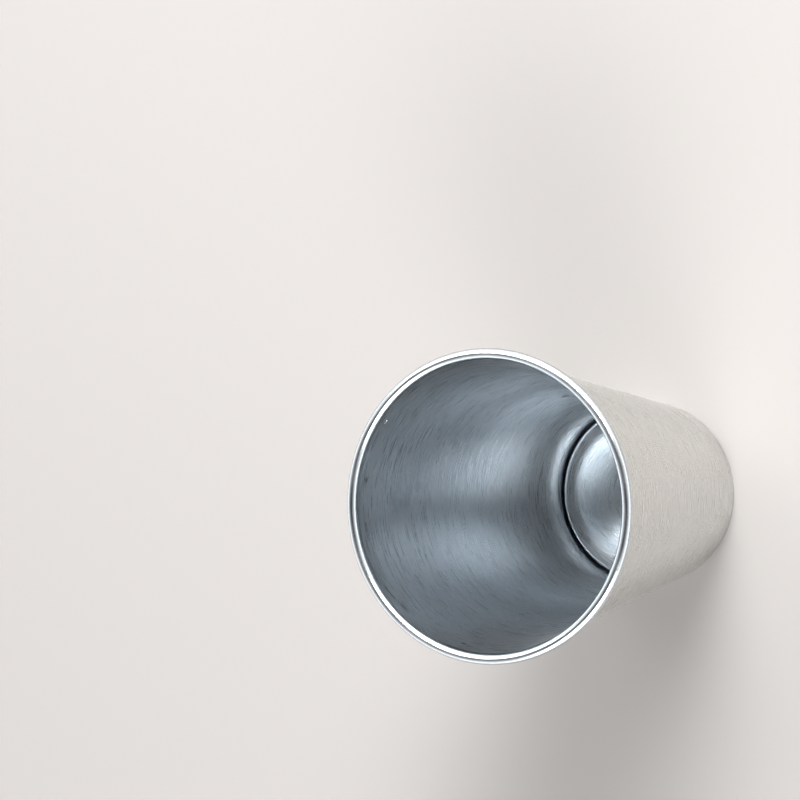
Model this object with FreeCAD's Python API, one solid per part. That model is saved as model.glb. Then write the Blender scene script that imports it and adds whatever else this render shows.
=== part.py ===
"""Deep drawn metal cup: one steel blank drawn, stepped at the foot and curled outward at the mouth.

The whole cup is one sheet.  Its section is a single chain of straight runs and bends, followed along
the middle of the sheet from the axis of the base out to the free edge of the rim.  The chain is given
the sheet's thickness on both sides and turned once round the +Z axis.  Z = 0 is the foot's land.
"""
import FreeCAD, Part
import math
import os

# ---- driving dimensions (mm and degrees) ---------------------------------------------------------
# blank
SHEET = 0.5                 # wall of the drawn sheet

# overall
RIM_DIAMETER = 88.0         # over the outside of the curl
CUP_HEIGHT = 123.0          # land to the top of the curl
FOOT_DIAMETER = 59.5        # over the foot's fold

# curled rim
CURL_DIAMETER = 3.0         # outside of the rolled tube
CURL_TUCK = 22.0            # how far past its lowest point the free edge is rolled
NECK_HEIGHT = 3.0           # band between the curl and the crease under it
NECK_FLARE = 9.0            # lean of that band from the axis
NECK_BEND = 2.5             # radius of the crease

# folded foot and stepped base
FOOT_BEND = 0.05            # inside radius of the nearly shut fold that the cup stands on
LAND_WIDTH = 0.3            # flat ring pressed under the fold
BASE_RECESS = 3.5           # ledge's underside above the land
LEDGE_BEND = 0.8            # inside radius where the step turns into the ledge
DOME_DIAMETER = 51.0        # where the ledge gives way to the dome
DOME_RISE = 4.0             # crown of the dome above the ledge
DOME_BLEND = 10.0           # radius that eases the ledge into the dome


class SheetSection:
    """Section of bent sheet, walked along its middle line in the (r, z) half plane."""

    def __init__(self, r, z, heading):
        """Start at (r, z), facing heading degrees, where 0 is outward and 90 is up."""
        self.r, self.z, self.heading = r, z, math.radians(heading)
        self.left, self.right = [], []
        self.ends = [self._pair()]

    def _pair(self, turned=0.0, centre=None, radius=0.0):
        """Both faces' points at the current place, or part way round a bend."""
        half = SHEET / 2
        if centre is None:
            out = (-math.sin(self.heading), math.cos(self.heading))
            return [self._vector(self.r + side * half * out[0], self.z + side * half * out[1])
                    for side in (1, -1)]
        spoke = self.heading + turned - math.copysign(math.pi / 2, radius)
        return [self._vector(centre[0] + (abs(radius) - side * half) * math.cos(spoke),
                             centre[1] + (abs(radius) - side * half) * math.sin(spoke))
                for side in (math.copysign(1, radius), -math.copysign(1, radius))]

    @staticmethod
    def _vector(r, z):
        return FreeCAD.Vector(r, 0, z)

    def run(self, length):
        """Carry on straight."""
        self.r += length * math.cos(self.heading)
        self.z += length * math.sin(self.heading)
        ahead = self._pair()
        for face, start, end in zip((self.left, self.right), self.ends[-1], ahead):
            face.append(Part.LineSegment(start, end).toShape())
        self.ends.append(ahead)

    def bend(self, degrees, radius):
        """Turn by degrees, positive to the left, about a centre radius away from the middle line."""
        turn = math.radians(degrees)
        signed = math.copysign(radius, turn)
        centre = (self.r - signed * math.sin(self.heading), self.z + signed * math.cos(self.heading))
        middle = self._pair(turn / 2, centre, signed)
        ahead = self._pair(turn, centre, signed)
        for face, start, mid, end in zip((self.left, self.right), self.ends[-1], middle, ahead):
            face.append(Part.Arc(start, mid, end).toShape())
        self.ends.append(ahead)
        self.heading += turn
        self.r = centre[0] + signed * math.sin(self.heading)
        self.z = centre[1] - signed * math.cos(self.heading)

    def face(self):
        """Close both faces with the sheet's cut edges."""
        first, last = self.ends[0], self.ends[-1]
        edges = self.left + self.right + [Part.LineSegment(*pair).toShape() for pair in (first, last)]
        return Part.Face(Part.Wire(Part.__sortEdges__(edges)))


def base_panel(section, step_radius):
    """Dome, ledge and step, from the axis to the bottom of the step's straight."""
    slope = 2 * math.atan(DOME_RISE / (DOME_DIAMETER / 2))
    crown = DOME_DIAMETER / 2 / math.sin(slope) - DOME_BLEND
    corner = LEDGE_BEND + SHEET / 2
    fold = FOOT_BEND + SHEET / 2
    section.bend(-math.degrees(slope), crown)
    section.bend(math.degrees(slope), DOME_BLEND)
    section.run(step_radius - corner - section.r)
    section.bend(-90, corner)
    section.run(section.z - SHEET / 2 - fold)


def wall(section, curl_radius, curl_height):
    """Foot fold and land, then the tapered wall, which is tangent to the fold and meets the neck."""
    fold = FOOT_BEND + SHEET / 2
    section.bend(90, fold)
    section.run(LAND_WIDTH)
    fold_r, fold_z = section.r, section.z + fold

    flare = math.radians(NECK_FLARE)
    tube = (CURL_DIAMETER - SHEET) / 2
    neck_run = (NECK_HEIGHT + CURL_DIAMETER / 2 + tube * math.sin(flare)) / math.cos(flare)
    crease_r = curl_radius - tube * math.cos(flare) - neck_run * math.sin(flare)
    crease_z = curl_height + tube * math.sin(flare) - neck_run * math.cos(flare)

    across, up = crease_r - fold_r, crease_z - fold_z
    reach = math.hypot(across, up)
    lean = math.atan2(up, across) + math.asin(fold / reach)
    heel = NECK_BEND * math.tan(abs(lean - (math.pi / 2 - flare)) / 2)
    section.bend(math.degrees(lean), fold)
    section.run(math.sqrt(reach ** 2 - fold ** 2) - heel)
    section.bend(90 - NECK_FLARE - math.degrees(lean), NECK_BEND)
    section.run(neck_run - heel)


def curl(section):
    """Rim rolled outward and down into an open tube, its free edge tucked in towards the neck."""
    section.bend(-(90 - NECK_FLARE + 180 + CURL_TUCK), (CURL_DIAMETER - SHEET) / 2)


def cup():
    """The drawn cup as one solid."""
    step_radius = FOOT_DIAMETER / 2 - 1.5 * SHEET - 2 * FOOT_BEND - LAND_WIDTH
    section = SheetSection(0, BASE_RECESS + SHEET / 2 + DOME_RISE, 0)
    base_panel(section, step_radius)
    wall(section, (RIM_DIAMETER - CURL_DIAMETER) / 2, CUP_HEIGHT - CURL_DIAMETER / 2)
    curl(section)
    return section.face().revolve(FreeCAD.Vector(), FreeCAD.Vector(0, 0, 1), 360)


os.makedirs("parts", exist_ok=True)
shape = cup()
print("cup", "valid", shape.isValid(), "solids", len(shape.Solids), "volume", round(shape.Volume, 1),
      "box", shape.BoundBox)
shape.exportStep("parts/cup.step")
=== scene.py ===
"""Deep drawn steel cup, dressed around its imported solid: satin walls, polished rim and foot, water drops."""
import logging
import math
from dataclasses import dataclass, field
from enum import Enum

import bpy
import numpy as np
from mathutils import Matrix, Vector


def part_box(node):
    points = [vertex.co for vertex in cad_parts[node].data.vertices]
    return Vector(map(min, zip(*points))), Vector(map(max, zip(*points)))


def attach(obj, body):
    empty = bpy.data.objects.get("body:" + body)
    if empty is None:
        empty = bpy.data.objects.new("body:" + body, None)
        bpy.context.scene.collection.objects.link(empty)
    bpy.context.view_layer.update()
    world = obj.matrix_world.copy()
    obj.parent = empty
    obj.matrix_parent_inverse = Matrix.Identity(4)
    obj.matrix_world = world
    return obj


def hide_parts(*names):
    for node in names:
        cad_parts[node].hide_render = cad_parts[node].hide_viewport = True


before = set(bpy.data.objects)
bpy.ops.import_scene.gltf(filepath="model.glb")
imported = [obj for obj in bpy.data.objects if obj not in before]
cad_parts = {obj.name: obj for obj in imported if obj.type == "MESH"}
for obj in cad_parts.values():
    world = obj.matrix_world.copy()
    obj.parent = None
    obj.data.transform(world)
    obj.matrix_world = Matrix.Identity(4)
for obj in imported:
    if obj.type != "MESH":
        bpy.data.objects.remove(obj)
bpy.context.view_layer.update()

MM = 0.001
log = logging.getLogger("cup")


# ---- mesh helpers ---------------------------------------------------------------------------------
def mesh_object(name: str, points: np.ndarray, faces: list) -> bpy.types.Object:
    """Puts worked-out points and faces into a new smooth mesh object.

    Args:
        name: the piece's name.
        points: array (n, 3) of places in metres.
        faces: lists of corner numbers, wound so that they point outwards.

    Returns:
        The object, linked to the scene at the origin.
    """
    mesh = bpy.data.meshes.new(name)
    mesh.from_pydata(points.tolist(), [], faces)
    mesh.polygons.foreach_set("use_smooth", np.ones(len(mesh.polygons), bool))
    mesh.update()
    piece = bpy.data.objects.new(name, mesh)
    bpy.context.scene.collection.objects.link(piece)
    return piece


def ring_faces(rings: int, around: int) -> np.ndarray:
    """Quads between consecutive rings of points.

    Formula in words: corner (i, j) is number i * around + j, and the last point of a ring meets its first.

    Args:
        rings: how many rings.
        around: points in each ring.

    Returns:
        Array (quads, 4) of corner numbers.
    """
    i, j = np.meshgrid(np.arange(rings - 1), np.arange(around), indexing="ij")
    here, beside = i * around + j, i * around + (j + 1) % around
    return np.stack([here, here + around, beside + around, beside], -1).reshape(-1, 4)


# ---- the sheet's section --------------------------------------------------------------------------
class SheetWalk:
    """Middle line of a bent sheet, walked in the (r, z) half plane and kept as whole arrays."""

    def __init__(self, r: float, z: float, heading: float = 0.0) -> None:
        """Starts at (r, z), facing heading radians, where 0 is outward."""
        self.r, self.z, self.heading = r, z, heading
        self.parts: list[np.ndarray] = [np.array([[r, z, heading, 0.0]])]
        self.length = 0.0

    def _keep(self, r: np.ndarray, z: np.ndarray, heading: np.ndarray, along: np.ndarray) -> None:
        """Adds stations (r, z, heading, distance walked) to the line."""
        self.parts.append(np.stack([r, z, heading, self.length + along], 1))
        self.r, self.z, self.heading = float(r[-1]), float(z[-1]), float(heading[-1])
        self.length += float(along[-1])

    def run(self, length: float, tight: tuple = (0.2 * MM, 0.6 * MM, 1.2 * MM, 2.5 * MM)) -> None:
        """Carries on straight, with extra stations close to both ends so that the shading stays flat.

        Args:
            length: length of the run.
            tight: distances of the extra stations from each end, where the run has room for them.
        """
        near = np.array([gap for gap in tight if 2 * gap < length])
        along = np.concatenate([near, length - near[::-1], [length]])
        self._keep(self.r + along * math.cos(self.heading), self.z + along * math.sin(self.heading),
                   np.full(len(along), self.heading), along)

    def bend(self, turn: float, radius: float, step: float = math.radians(7.5)) -> None:
        """Turns about a centre that lies radius away, to the left for a positive turn.

        Formula in words: each station is the centre plus the radius along the spoke that is square to
        the heading there.

        Args:
            turn: angle in radians.
            radius: radius of the middle line.
            step: largest angle between stations.
        """
        signed = math.copysign(radius, turn)
        centre_r = self.r - signed * math.sin(self.heading)
        centre_z = self.z + signed * math.cos(self.heading)
        part = np.linspace(0, 1, max(3, math.ceil(abs(turn) / step) + 1))[1:]
        heading = self.heading + turn * part
        self._keep(centre_r + signed * np.sin(heading), centre_z - signed * np.cos(heading),
                   heading, abs(turn) * radius * part)

    def stations(self) -> np.ndarray:
        """Array (n, 4) of r, z, heading and distance walked."""
        return np.concatenate(self.parts)


@dataclass
class DrawnCup:
    """The whole cup, one sheet turned round its axis.

    Sizes are in metres.  The rim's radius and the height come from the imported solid.
    """

    rim_radius: float
    height: float
    sheet: float = 0.5 * MM
    foot_radius: float = 29.75 * MM
    curl: float = 3.0 * MM
    curl_tuck: float = math.radians(22)
    neck: float = 3.0 * MM
    neck_flare: float = math.radians(9)
    neck_bend: float = 2.5 * MM
    foot_bend: float = 0.05 * MM
    land: float = 0.3 * MM
    recess: float = 3.5 * MM
    ledge_bend: float = 0.8 * MM
    dome_radius: float = 25.5 * MM
    dome_rise: float = 4.0 * MM
    dome_blend: float = 10.0 * MM
    crown_step: float = math.radians(0.5)
    blend_step: float = math.radians(1.5)
    crease_step: float = math.radians(1)
    polish_ease: float = 1.0 * MM
    crisp: float = math.radians(40)
    around: int = 320
    marks: dict = field(default_factory=dict)

    def middle_line(self) -> np.ndarray:
        """Walks the sheet from the axis of the base to the free edge of the curl.

        Returns:
            Array (n, 4) of r, z, heading and distance walked.
        """
        half = self.sheet / 2
        fold = self.foot_bend + half
        ledge = self.ledge_bend + half
        step_r = self.foot_radius - 3 * half - 2 * self.foot_bend - self.land
        slope = 2 * math.atan(self.dome_rise / self.dome_radius)
        walk = SheetWalk(0.0, self.recess + half + self.dome_rise)
        walk.bend(-slope, self.dome_radius / math.sin(slope) - self.dome_blend, self.crown_step)
        walk.bend(slope, self.dome_blend, self.blend_step)
        walk.run(step_r - ledge - walk.r)
        walk.bend(-math.pi / 2, ledge)
        walk.run(walk.z - half - fold)
        self.marks["foot_start"] = walk.length
        walk.bend(math.pi / 2, fold)
        walk.run(self.land)

        tube = (self.curl - self.sheet) / 2
        curl_r, curl_z = self.rim_radius - self.curl / 2, self.height - self.curl / 2
        flare_r, flare_z = math.sin(self.neck_flare), math.cos(self.neck_flare)
        neck_run = (self.neck + self.curl / 2 + tube * flare_r) / flare_z
        across = curl_r - tube * flare_z - neck_run * flare_r - walk.r
        up = curl_z + tube * flare_r - neck_run * flare_z - (walk.z + fold)
        reach = math.hypot(across, up)
        lean = math.atan2(up, across) + math.asin(fold / reach)
        heel = self.neck_bend * math.tan(abs(lean - math.pi / 2 + self.neck_flare) / 2)
        walk.bend(lean, fold)
        self.marks["foot_end"] = walk.length
        self.marks["wall_r"], self.marks["wall_z"], self.marks["lean"] = walk.r, walk.z, lean
        walk.run(math.sqrt(reach ** 2 - fold ** 2) - heel)
        walk.bend(math.pi / 2 - self.neck_flare - lean, self.neck_bend, self.crease_step)
        walk.run(neck_run - heel)
        self.marks["curl_start"] = walk.length
        walk.bend(-(math.pi * 1.5 - self.neck_flare + self.curl_tuck), tube)
        return walk.stations()

    def build(self) -> bpy.types.Object:
        """Thickens the middle line to both sides and turns it round the axis.

        Formula in words: a face's point is the middle line's point plus or minus half the sheet along
        the normal (minus sine, cosine of the heading), and ring k is that outline turned k steps.

        Returns:
            The cup, with the attributes polish, inside and walked.
        """
        line = self.middle_line()
        r, z, heading, walked = line.T
        shift = np.stack([-np.sin(heading), np.cos(heading)], 1) * self.sheet / 2
        upper, lower = line[:, :2] + shift, (line[:, :2] - shift)[::-1]
        outline = np.concatenate([upper, lower])
        distance = np.concatenate([walked, walked[::-1]])
        inside = np.concatenate([np.ones(len(line)), np.zeros(len(line))])

        rings = outline[1:-1]
        angle = np.arange(self.around) * 2 * math.pi / self.around
        turned = np.stack([rings[:, :1] * np.cos(angle), rings[:, :1] * np.sin(angle),
                           np.repeat(rings[:, 1:], self.around, 1)], -1).reshape(-1, 3)
        poles = np.array([[0, 0, outline[0, 1]], [0, 0, outline[-1, 1]]])
        points = np.concatenate([turned, poles])
        quads = ring_faces(len(rings), self.around)
        j = np.arange(self.around)
        last = (len(rings) - 1) * self.around
        beside = (j + 1) % self.around
        first_fan = np.stack([np.full(self.around, len(turned)), j, beside], 1)
        last_fan = np.stack([np.full(self.around, len(turned) + 1), last + beside, last + j], 1)
        piece = mesh_object("drawn_cup", points, quads.tolist() + first_fan.tolist() + last_fan.tolist())

        per_ring = np.stack([distance, inside], 1)[1:-1]
        per_point = np.concatenate([np.repeat(per_ring, self.around, 0),
                                    [[distance[0], 1.0], [distance[-1], 0.0]]])
        self._lay_attributes(piece, per_point)
        piece.data.set_sharp_from_angle(angle=self.crisp)
        return piece

    def _lay_attributes(self, piece: bpy.types.Object, per_point: np.ndarray) -> None:
        """Writes the distance walked, the inside mask and the polish mask to the points.

        Formula in words: polish is 1 on the curl and on the foot's fold and eases to 0 over
        polish_ease beside them.

        Args:
            piece: the cup.
            per_point: array (points, 2) of the distance walked and the inside mask.
        """
        walked, inside = per_point.T
        ease = self.polish_ease
        curl = np.clip((walked - self.marks["curl_start"] + ease) / ease, 0, 1)
        foot = np.clip((walked - self.marks["foot_start"] + ease) / ease, 0, 1)
        foot = foot * np.clip((self.marks["foot_end"] + ease - walked) / ease, 0, 1)
        for name, value in (("polish", np.maximum(curl, foot)), ("inside", inside), ("walked", walked / MM)):
            layer = piece.data.attributes.new(name, "FLOAT", "POINT")
            layer.data.foreach_set("value", value.astype(np.float32))


class Slot(Enum):
    """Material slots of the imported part."""

    STEEL = "stainless_steel"
    WATER = "water"


@dataclass(frozen=True)
class Drop:
    """One water drop on the inside of the wall.

    The angle is in degrees, the height and width are in millimetres, and stretch is length over width.
    """

    angle: float
    height: float
    width: float
    stretch: float = 1.0


@dataclass
class WaterDrops:
    """Water drops that cling to the inside of the wall, larger ones placed and fine spray scattered."""

    cup: DrawnCup
    placed: tuple = (
        Drop(32, 115, 3.0), Drop(24, 72, 1.8), Drop(14, 42, 2.6, 1.3), Drop(37, 10, 1.4),
        Drop(18, 117, 1.6), Drop(2, 69, 1.6), Drop(49, 119, 1.5), Drop(55, 87, 1.2),
        Drop(70, 87, 1.1), Drop(67, 83, 1.0), Drop(75, 117, 2.2, 1.9), Drop(156, 74, 1.9),
        Drop(157, 86, 1.6), Drop(158, 96, 1.8), Drop(160, 107, 1.5), Drop(161, 116, 1.7),
        Drop(-177, 98, 3.2, 1.2), Drop(179, 81, 2.0), Drop(-173, 113, 1.5), Drop(157, 23, 1.1),
    )
    spray: int = 26
    spray_heights: tuple = (20, 116)
    spray_halves: tuple = (0.22, 0.42)
    spray_stretch: tuple = (0.9, 1.4)
    spray_seed: int = 17
    sway: tuple = (0.07, 0.05)
    sway_seed: int = 5
    rings: int = 7
    spokes: int = 24
    bulge: float = 0.36
    sunk: float = 0.04 * MM

    def _all_drops(self) -> np.ndarray:
        """Array (n, 4) of angle, height, half width and stretch, in radians and metres."""
        rng = np.random.default_rng(self.spray_seed)
        large = np.array([(d.angle, d.height, d.width / 2, d.stretch) for d in self.placed])
        fine = np.stack([rng.uniform(-180, 180, self.spray), rng.uniform(*self.spray_heights, self.spray),
                         rng.uniform(*self.spray_halves, self.spray),
                         rng.uniform(*self.spray_stretch, self.spray)], 1)
        return np.concatenate([large, fine]) * (math.pi / 180, MM, MM, 1.0)

    def build(self) -> bpy.types.Object:
        """Lays every drop on the wall as a closed lens.

        Formula in words: a drop's height falls from its bulge in the middle to nothing at its edge with
        the square of the distance, its outline swells and shrinks a little with two and three waves, and
        its underside lies just below the steel's surface.

        Returns:
            All the drops as one piece.
        """
        angle, height, half, stretch = self._all_drops()[:, :, None, None].transpose(1, 0, 2, 3)
        rng = np.random.default_rng(self.sway_seed)
        waves = rng.uniform(0, 2 * math.pi, (2, len(angle), 1, 1))
        turn = (np.arange(self.spokes) * 2 * math.pi / self.spokes)[None, None, :]
        share = np.append(np.linspace(0, 1, self.rings + 1)[1:], 1.0)[None, :, None]
        two, three = self.sway
        outline = 1 + two * np.cos(2 * turn + waves[0]) + three * np.cos(3 * turn + waves[1])
        along = half * stretch * share * outline * np.cos(turn)
        across = half * share * outline * np.sin(turn)
        rise = half * self.bulge * (1 - share ** 2) + 0 * along
        rise[:, -1] = -self.sunk

        rings = np.stack([along, across, rise], -1).reshape(len(angle), -1, 3)
        peak = np.stack([0 * half, 0 * half, half * self.bulge], -1).reshape(-1, 1, 3)
        below = np.stack([0 * half, 0 * half, 0 * half - self.sunk], -1).reshape(-1, 1, 3)
        local = np.concatenate([rings, peak, below], 1)
        points = self._seat(local, angle[:, 0, 0], height[:, 0, 0])
        return mesh_object("water_drops", points, self._faces(len(angle), local.shape[1]))

    def _seat(self, local: np.ndarray, angle: np.ndarray, height: np.ndarray) -> np.ndarray:
        """Moves the drops from their own axes (up the wall, round it, off it) to their places.

        Formula in words: the wall's inner face is the middle line at that height, half a sheet inward.

        Args:
            local: array (drops, corners, 3) in each drop's own axes.
            angle: where each drop lies round the cup.
            height: how high each drop lies.

        Returns:
            Array (drops * corners, 3) of places.
        """
        marks, lean = self.cup.marks, self.cup.marks["lean"]
        inward = self.cup.sheet / 2 / math.sin(lean)
        reach = marks["wall_r"] + (height - marks["wall_z"]) / math.tan(lean) - inward
        c, s, still = np.cos(angle), np.sin(angle), np.zeros_like(angle)
        up = np.stack([c * math.cos(lean), s * math.cos(lean), still + math.sin(lean)], 1)
        side = np.stack([-s, c, still], 1)
        off = np.cross(up, side)
        seat = np.stack([reach * c, reach * s, height], 1)
        return (seat[:, None] + local[..., :1] * up[:, None] + local[..., 1:2] * side[:, None]
                + local[..., 2:] * off[:, None]).reshape(-1, 3)

    def _faces(self, drops: int, corners: int) -> list:
        """Quads between rings and fans at both ends, repeated for every drop."""
        j = np.arange(self.spokes)
        beside = (j + 1) % self.spokes
        last = self.rings * self.spokes
        peak = np.full(self.spokes, corners - 2)
        peak_fan = np.stack([peak, j, beside], 1)
        fans = np.concatenate([peak_fan, np.stack([peak + 1, last + beside, last + j], 1)])
        quads = ring_faces(self.rings + 1, self.spokes)
        start = np.arange(drops)[:, None, None] * corners
        return (quads + start).reshape(-1, 4).tolist() + (fans + start).reshape(-1, 3).tolist()


# ---- finishes -------------------------------------------------------------------------------------
class Graph:
    """Small helper that adds and links shader nodes."""

    def __init__(self, name: str) -> None:
        """Starts an empty node material."""
        self.material = bpy.data.materials.new(name)
        self.material.use_nodes = True
        self.tree = self.material.node_tree
        self.tree.nodes.clear()

    def add(self, kind: str, settings: dict | None = None, **inputs: object) -> bpy.types.Node:
        """Adds a node, then sets or links its inputs.

        Args:
            kind: node type, such as ShaderNodeMath.
            settings: the node's own properties.
            inputs: input name, with spaces as underscores or a number as _0, to a value or a socket.

        Returns:
            The node.
        """
        node = self.tree.nodes.new(kind)
        for key, value in (settings or {}).items():
            setattr(node, key, value)
        for key, value in inputs.items():
            plain = key.lstrip("_")
            socket = node.inputs[int(plain)] if plain.isdigit() else node.inputs[key.replace("_", " ")]
            if isinstance(value, bpy.types.NodeSocket):
                self.tree.links.new(value, socket)
            else:
                socket.default_value = value
        return node


@dataclass(frozen=True)
class SatinSteel:
    """Drawn stainless steel: satin walls with faint turned grain, brighter where it was polished, and a
    painted reflection tint that is cooler inside than outside.
    """

    name: str = "satin_steel"
    # painted reflection: the inside tint is bluer than the outside to stand for cool light from above, while
    # both faces are the same steel
    outside: tuple = (0.60, 0.595, 0.575, 1.0)
    inside: tuple = (0.575, 0.605, 0.63, 1.0)
    satin: float = 0.29
    bright: float = 0.19
    uneven: float = 0.05
    grain_band: tuple = (0.3, 0.7)
    grain_depth: float = 0.008 * MM
    grain_scale: tuple = (120.0, 120.0, 2.5)
    speckle_scale: float = 1100.0
    speckle_gain: float = 3.0

    def build(self) -> bpy.types.Material:
        """Makes the node material."""
        g = Graph(self.name)
        polish = g.add("ShaderNodeAttribute", {"attribute_name": "polish"}).outputs["Fac"]
        rough = g.add("ShaderNodeMapRange", {}, Value=polish, To_Min=self.satin, To_Max=self.bright)
        grain, speckle = self._grain(g)
        low, high = self.grain_band
        lift = g.add("ShaderNodeMapRange", {}, Value=grain, From_Min=low, From_Max=high,
                     To_Min=-self.uneven, To_Max=self.uneven)
        patchy = g.add("ShaderNodeMath", {"operation": "ADD"}, _0=rough.outputs[0], _1=lift.outputs[0])
        coarse = g.add("ShaderNodeMapRange", {}, Value=polish, To_Min=0.0, To_Max=self.speckle_gain)
        height = g.add("ShaderNodeMath", {"operation": "MULTIPLY_ADD"}, _0=speckle,
                       _1=coarse.outputs[0], _2=grain)
        bump = g.add("ShaderNodeBump", {}, Height=height.outputs[0], Strength=1.0, Distance=self.grain_depth)
        inside = g.add("ShaderNodeAttribute", {"attribute_name": "inside"}).outputs["Fac"]
        # painted reflection tint, chosen by the inside mask
        tint = g.add("ShaderNodeMix", {"data_type": "RGBA"})
        g.tree.links.new(inside, tint.inputs[0])
        tint.inputs[6].default_value, tint.inputs[7].default_value = self.outside, self.inside
        shader = g.add("ShaderNodeBsdfPrincipled", {}, Base_Color=tint.outputs[2], Metallic=1.0,
                       Roughness=patchy.outputs[0], Normal=bump.outputs[0])
        g.add("ShaderNodeOutputMaterial", {}, Surface=shader.outputs[0])
        return g.material

    def _grain(self, g: Graph) -> tuple:
        """Fine marks that run round the cup, and small round speckle for the polished rim.

        Formula in words: the marks are noise that is long round the cup and short along the sheet, in
        object metres across and walked millimetres along.

        Args:
            g: the material's nodes.

        Returns:
            The sockets of the marks and of the speckle.
        """
        place = g.add("ShaderNodeTexCoord").outputs["Object"]
        part = g.add("ShaderNodeSeparateXYZ", {}, Vector=place)
        walked = g.add("ShaderNodeAttribute", {"attribute_name": "walked"}).outputs["Fac"]
        along = g.add("ShaderNodeCombineXYZ", {}, X=part.outputs[0], Y=part.outputs[1], Z=walked)
        drawn = g.add("ShaderNodeVectorMath", {"operation": "MULTIPLY"}, _0=along.outputs[0],
                      _1=self.grain_scale)
        marks = g.add("ShaderNodeTexNoise", {}, Vector=drawn.outputs[0], Scale=1.0, Detail=4.0)
        speckle = g.add("ShaderNodeTexNoise", {}, Vector=place, Scale=self.speckle_scale, Detail=2.0)
        return marks.outputs[0], speckle.outputs[0]


@dataclass(frozen=True)
class ClearWater:
    """Clear water, a little uneven over each drop."""

    name: str = "clear_water"
    tint: tuple = (0.97, 0.99, 1.0, 1.0)
    bend: float = 1.33
    frost: float = 0.05
    ripple: float = 0.02 * MM
    ripple_scale: float = 600.0
    ripple_share: float = 0.5

    def build(self) -> bpy.types.Material:
        """Makes the node material."""
        g = Graph(self.name)
        place = g.add("ShaderNodeTexCoord").outputs["Object"]
        uneven = g.add("ShaderNodeTexNoise", {}, Vector=place, Scale=self.ripple_scale, Detail=1.0)
        rough = g.add("ShaderNodeMapRange", {}, Value=uneven.outputs[0], To_Min=0.0, To_Max=self.frost)
        bump = g.add("ShaderNodeBump", {}, Height=uneven.outputs[0], Strength=self.ripple_share,
                     Distance=self.ripple)
        shader = g.add("ShaderNodeBsdfPrincipled", {}, Base_Color=self.tint, Roughness=rough.outputs[0],
                       IOR=self.bend, Transmission_Weight=1.0, Normal=bump.outputs[0])
        g.add("ShaderNodeOutputMaterial", {}, Surface=shader.outputs[0])
        return g.material


@dataclass(frozen=True)
class PaleFloor:
    """Plain pale floor."""

    name: str = "pale_floor"
    tint: tuple = (0.178, 0.169, 0.162, 1.0)

    def build(self) -> bpy.types.Material:
        """Makes the node material."""
        g = Graph(self.name)
        shader = g.add("ShaderNodeBsdfPrincipled", {}, Base_Color=self.tint, Roughness=0.9)
        g.add("ShaderNodeOutputMaterial", {}, Surface=shader.outputs[0])
        return g.material


# ---- studio ---------------------------------------------------------------------------------------
@dataclass(frozen=True)
class SoftBox:
    """Round softbox that faces the cup.

    Angles are in degrees, azimuth from +X towards +Y; reach is the half angle that it fills as seen
    from the cup, and glow is the radiance of its face.
    """

    name: str
    azimuth: float
    elevation: float
    reach: float
    glow: float
    tint: tuple
    distance: float = 1.6

    def hang(self, towards: Vector) -> bpy.types.Object:
        """Makes the light and turns it to the point given.

        Formula in words: the power of a flat lamp is its radiance times pi times its area.

        Args:
            towards: the point that it faces.

        Returns:
            The light's object.
        """
        azimuth, elevation = math.radians(self.azimuth), math.radians(self.elevation)
        away = Vector((math.cos(elevation) * math.cos(azimuth), math.cos(elevation) * math.sin(azimuth),
                       math.sin(elevation)))
        radius = self.distance * math.tan(math.radians(self.reach))
        data = bpy.data.lights.new(self.name, "AREA")
        data.shape, data.size = "DISK", 2 * radius
        data.color = self.tint
        data.energy = self.glow * math.pi * math.pi * radius ** 2
        self._soften(data)
        lamp = bpy.data.objects.new(self.name, data)
        lamp.matrix_world = (Matrix.Translation(towards + away * self.distance)
                             @ away.to_track_quat("Z", "Y").to_matrix().to_4x4())
        lamp.visible_camera = False
        bpy.context.scene.collection.objects.link(lamp)
        return lamp

    @staticmethod
    def _soften(data: bpy.types.Light) -> None:
        """Makes the face brightest in the middle.

        Formula in words: the glow falls along a smooth step from one in the middle to nothing at the edge.

        Args:
            data: the lamp whose face fades.
        """
        data.use_nodes = True
        tree = data.node_tree
        face = tree.nodes.new("ShaderNodeNewGeometry")
        middle = tree.nodes.new("ShaderNodeVectorMath")
        middle.operation = "DISTANCE"
        middle.inputs[1].default_value = (0.5, 0.5, 0.0)
        tree.links.new(face.outputs["Parametric"], middle.inputs[0])
        fade = tree.nodes.new("ShaderNodeMapRange")
        fade.interpolation_type = "SMOOTHSTEP"
        tree.links.new(middle.outputs["Value"], fade.inputs["Value"])
        fade.inputs["From Min"].default_value, fade.inputs["From Max"].default_value = 0.0, 0.5
        fade.inputs["To Min"].default_value, fade.inputs["To Max"].default_value = 1.0, 0.0
        glow = tree.nodes["Emission"]
        tree.links.new(fade.outputs[0], glow.inputs["Strength"])


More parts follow.
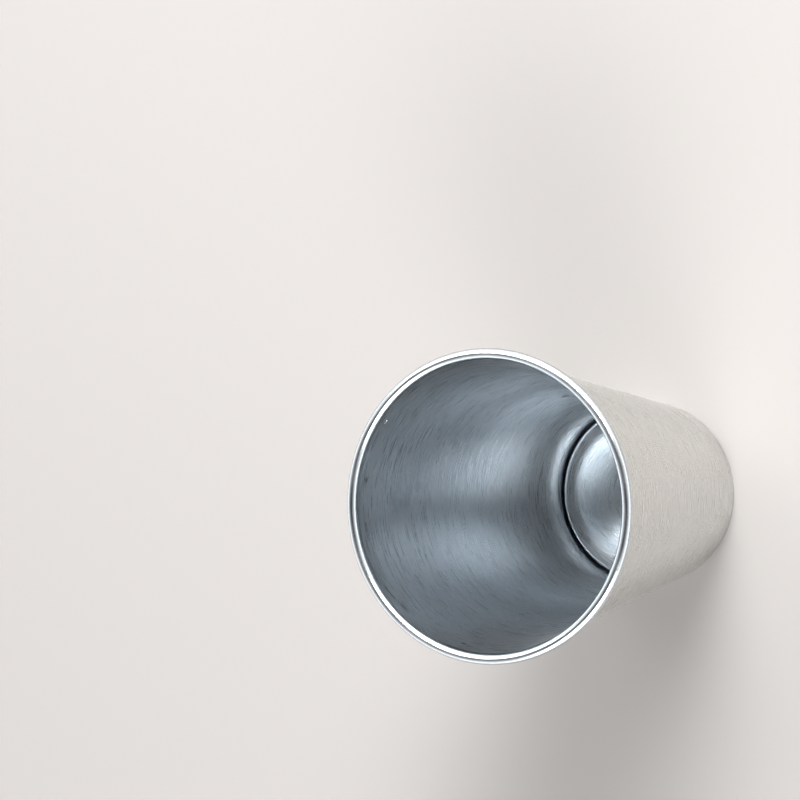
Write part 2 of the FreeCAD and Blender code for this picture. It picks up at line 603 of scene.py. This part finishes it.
@dataclass
class Studio:
    """Floor, soft lights, surround and camera."""

    place: tuple = (0.0, -0.2546, 0.6351)
    aim: tuple = (0.03204, 0.02312, 0.1230)
    roll: float = math.radians(-89.11)
    lens: float = 92.57
    film: float = 36.0
    floor_size: float = 8.0
    horizon: tuple = (2.4, 2.45, 2.5)
    softboxes: tuple = (
        SoftBox("key_softbox", -19, 42, 24, 62.0, (1.0, 1.0, 1.0)),
        SoftBox("high_softbox", 37, 51, 22, 14.0, (1.0, 1.0, 1.0)),
        SoftBox("side_softbox", 192, 39, 26, 22.0, (1.0, 1.0, 1.0)),
    )

    def camera(self) -> bpy.types.Object:
        """Looks down into the mouth, rolled so that the cup lies across the picture."""
        data = bpy.data.cameras.new("camera")
        data.lens = self.lens
        data.sensor_width = self.film
        data.clip_start, data.clip_end = 0.01, 50.0
        camera = bpy.data.objects.new("camera", data)
        ahead = (Vector(self.aim) - Vector(self.place)).normalized()
        level = ahead.to_track_quat("-Z", "Y").to_matrix()
        turned = level @ Matrix.Rotation(self.roll, 3, "Z")
        camera.matrix_world = Matrix.Translation(self.place) @ turned.to_4x4()
        bpy.context.scene.collection.objects.link(camera)
        bpy.context.scene.camera = camera
        return camera

    def floor(self) -> bpy.types.Object:
        """Large level sheet under the cup."""
        half = self.floor_size / 2
        corners = np.array([[-half, -half, 0], [half, -half, 0], [half, half, 0], [-half, half, 0]])
        floor = mesh_object("studio_floor", corners, [[0, 1, 2, 3]])
        floor.data.materials.append(PaleFloor().build())
        return floor

    def surround(self) -> None:
        """Room light that is bright at the horizon and dark overhead.

        Formula in words: the light from a direction is the horizon's colour times one minus the
        upward part of the direction.  Straight from the camera the surround is plain white.
        """
        world = bpy.data.worlds.new("surround")
        world.use_nodes = True
        tree = world.node_tree
        tree.nodes.clear()
        place = tree.nodes.new("ShaderNodeTexCoord")
        part = tree.nodes.new("ShaderNodeSeparateXYZ")
        tree.links.new(place.outputs["Generated"], part.inputs[0])
        fall = tree.nodes.new("ShaderNodeMapRange")
        tree.links.new(part.outputs["Z"], fall.inputs["Value"])
        fall.inputs["To Min"].default_value, fall.inputs["To Max"].default_value = 1.0, 0.0
        room = tree.nodes.new("ShaderNodeBackground")
        room.inputs["Color"].default_value = (*self.horizon, 1.0)
        tree.links.new(fall.outputs[0], room.inputs["Strength"])
        plain = tree.nodes.new("ShaderNodeBackground")
        plain.inputs["Color"].default_value = (1.0, 1.0, 1.0, 1.0)
        ray = tree.nodes.new("ShaderNodeLightPath")
        choose = tree.nodes.new("ShaderNodeMixShader")
        out = tree.nodes.new("ShaderNodeOutputWorld")
        tree.links.new(ray.outputs["Is Camera Ray"], choose.inputs[0])
        tree.links.new(room.outputs[0], choose.inputs[1])
        tree.links.new(plain.outputs[0], choose.inputs[2])
        tree.links.new(choose.outputs[0], out.inputs[0])
        bpy.context.scene.world = world
        bpy.context.scene.view_settings.view_transform = "Standard"


def main() -> None:
    """Builds the dressed cup and its studio, in order."""
    logging.basicConfig(level=logging.INFO, format="%(name)s: %(message)s")
    low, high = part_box("cup")
    cup = DrawnCup(rim_radius=high.x, height=high.z)
    shell = cup.build()
    shell.data.materials.append(SatinSteel().build())
    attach(shell, "root")
    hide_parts("cup")
    drops = WaterDrops(cup).build()
    drops.data.materials.append(ClearWater().build())
    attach(drops, "root")
    log.info("%s: %d faces", shell.name, len(shell.data.polygons))

    studio = Studio()
    studio.floor()
    studio.surround()
    for box in studio.softboxes:
        box.hang(Vector((0.0, 0.0, high.z / 2)))
    studio.camera()


if __name__ == "__main__":
    main()
